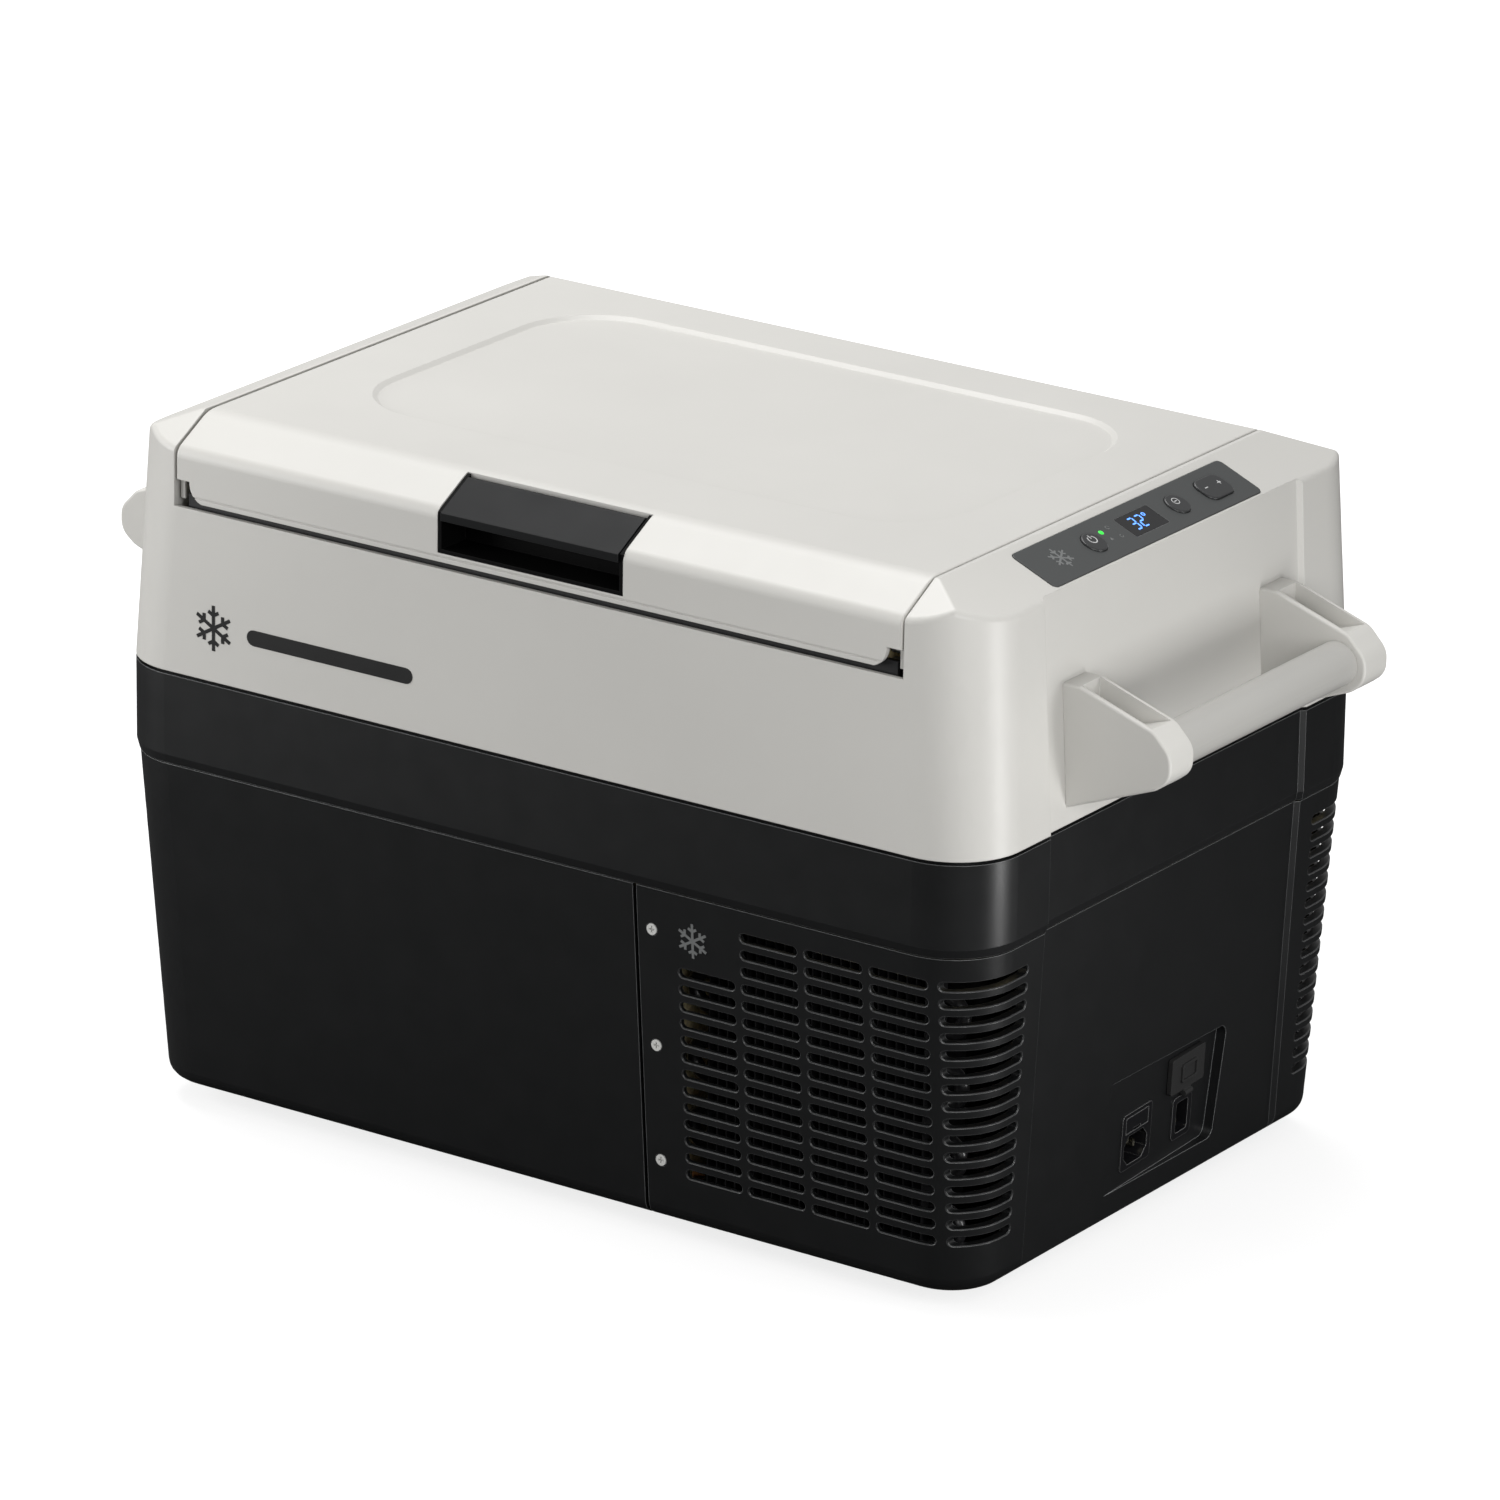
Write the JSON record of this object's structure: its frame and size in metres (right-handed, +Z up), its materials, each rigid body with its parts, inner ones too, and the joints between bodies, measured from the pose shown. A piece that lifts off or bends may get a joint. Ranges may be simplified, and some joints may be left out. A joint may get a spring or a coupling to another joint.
{
  "type": "compressor cooler fridge",
  "caption": "Portable hard-sided compressor cooler with hinged lid, pull latch, side carry handles, control panel, louvred compressor cover and power sockets.",
  "frame": {"origin": "centre of the footprint on the floor", "axes": "+X towards the compressor end, -Y towards the latch, +Z up"},
  "size_m": [0.694, 0.397, 0.407],
  "materials": {
    "black_shell": "fine moulded texture",
    "grey_shell": "fine moulded texture, warm pale grey",
    "liner_plastic": "smooth food-safe liner",
    "black_trim": "matt",
    "latch_plastic": "satin",
    "bezel_plastic": "satin dark grey",
    "button_plastic": "soft touch",
    "display_glass": "dark gloss window",
    "green_lens": "lit lens",
    "clear_lens": "frosted",
    "black_rubber": "matt",
    "socket_plastic": "satin",
    "foam": "closed-cell insulation",
    "steel": "zinc plated",
    "compressor_paint": "black enamel",
    "copper": "copper tube",
    "aluminium": "mill",
    "brass_pin": "plated",
    "basket_wire": "white coated wire",
    "circuit_board": "green board"
  },
  "bodies": {
    "cabinet": {"lower_shell": "black_shell", "compressor_cover": "black_shell", "cover_screws": "steel", "ac_inlet": "socket_plastic", "dc_inlet": "socket_plastic", "contact_pins": "brass_pin", "middle_band": "black_shell", "upper_shell": "grey_shell", "brackets_right": "grey_shell", "brackets_left": "grey_shell", "grip_right": "grey_shell", "grip_left": "grey_shell", "handle_screws": "steel", "control_bezel": "bezel_plastic", "display_window": "display_glass", "display_board": "circuit_board", "status_lamp": "green_lens", "inner_liner": "liner_plastic", "evaporator_plate": "aluminium", "foam_body": "foam", "rim_trim": "black_trim", "lamp_lens": "clear_lens", "pivot_pins": "steel", "feet": "black_rubber", "foot_screws": "steel", "compressor_base": "steel", "grommets": "black_rubber", "compressor_bolts": "steel", "compressor": "compressor_paint", "condenser_coil": "compressor_paint", "condenser_fins": "compressor_paint", "fan_frame": "black_trim", "filter_drier": "copper", "suction_pipe": "copper", "condenser_pipes": "copper", "capillary_tube": "copper", "controller_module": "black_trim", "power_supply": "aluminium", "wiring_loom": "black_rubber"},
    "lid": {"lid_outer": "grey_shell", "lid_liner": "liner_plastic", "lid_foam": "foam", "lid_gasket": "black_rubber", "hinge_blocks": "steel", "hinge_screws": "steel", "latch_cup": "black_trim", "latch_pin": "steel", "latch_spring": "steel"},
    "latch": {"latch_handle": "latch_plastic"},
    "catch": {"latch_catch": "steel"},
    "power_button": {"power_button": "button_plastic"},
    "set_button": {"set_button": "button_plastic"},
    "rocker": {"temperature_rocker": "button_plastic"},
    "fan": {"fan_rotor": "black_trim"},
    "fuse_drawer": {"fuse_drawer": "socket_plastic"},
    "dc_cap": {"dc_cap": "black_rubber"},
    "main_basket": {"main_basket": "basket_wire"},
    "main_bail": {"main_bail": "basket_wire"},
    "small_basket": {"small_basket": "basket_wire"},
    "small_bail": {"small_bail": "basket_wire"}
  },
  "joints": [
    {"name": "lid_hinge", "type": "hinge", "parent": "cabinet", "child": "lid", "pos_m": [0, 0.188, 0.372], "axis": [-1, 0, 0], "range_deg": [0, 100]},
    {"name": "latch_pull", "type": "hinge", "parent": "lid", "child": "latch", "pos_m": [0, -0.1739, 0.40165], "axis": [-1, 0, 0], "range_deg": [0, 25]},
    {"name": "catch_slide", "type": "slide", "parent": "lid", "child": "catch", "axis": [0, 1, 0], "range_m": [0, 0.004]},
    {"name": "power_press", "type": "slide", "parent": "cabinet", "child": "power_button", "axis": [-0.3875, 0, -0.9219], "range_m": [0, 0.0009]},
    {"name": "set_press", "type": "slide", "parent": "cabinet", "child": "set_button", "axis": [-0.3875, 0, -0.9219], "range_m": [0, 0.0009]},
    {"name": "rocker_tilt", "type": "hinge", "parent": "cabinet", "child": "rocker", "pos_m": [0.26006, 0.0654, 0.3979], "axis": [0.9219, 0, -0.3875], "range_deg": [-3, 3]},
    {"name": "fan_spin", "type": "hinge", "parent": "cabinet", "child": "fan", "pos_m": [0.175, -0.1375, 0.1], "axis": [0, 1, 0], "continuous": true},
    {"name": "fuse_pull", "type": "slide", "parent": "cabinet", "child": "fuse_drawer", "axis": [0.9975, 0.0522, -0.0487], "range_m": [0, 0.018]},
    {"name": "cap_swing", "type": "hinge", "parent": "cabinet", "child": "dc_cap", "pos_m": [0.27379, 0.03655, 0.06435], "axis": [-0.0522, 0.9986, 0], "range_deg": [0, 175]},
    {"name": "main_basket_lift", "type": "slide", "parent": "cabinet", "child": "main_basket", "axis": [0, 0, 1], "range_m": [0, 0.02]},
    {"name": "main_bail_fold", "type": "hinge", "parent": "main_basket", "child": "main_bail", "pos_m": [-0.087, 0, 0.283], "axis": [0, 1, 0], "range_deg": [0, 90]},
    {"name": "small_basket_lift", "type": "slide", "parent": "cabinet", "child": "small_basket", "axis": [0, 0, 1], "range_m": [0, 0.02]},
    {"name": "small_bail_fold", "type": "hinge", "parent": "small_basket", "child": "small_bail", "pos_m": [0.137, 0, 0.283], "axis": [0, 1, 0], "range_deg": [0, 90]}
  ],
  "couplings": [
    {"joint": "catch_slide", "follows": "latch_pull", "m_per_rad": 0.0091}
  ]
}
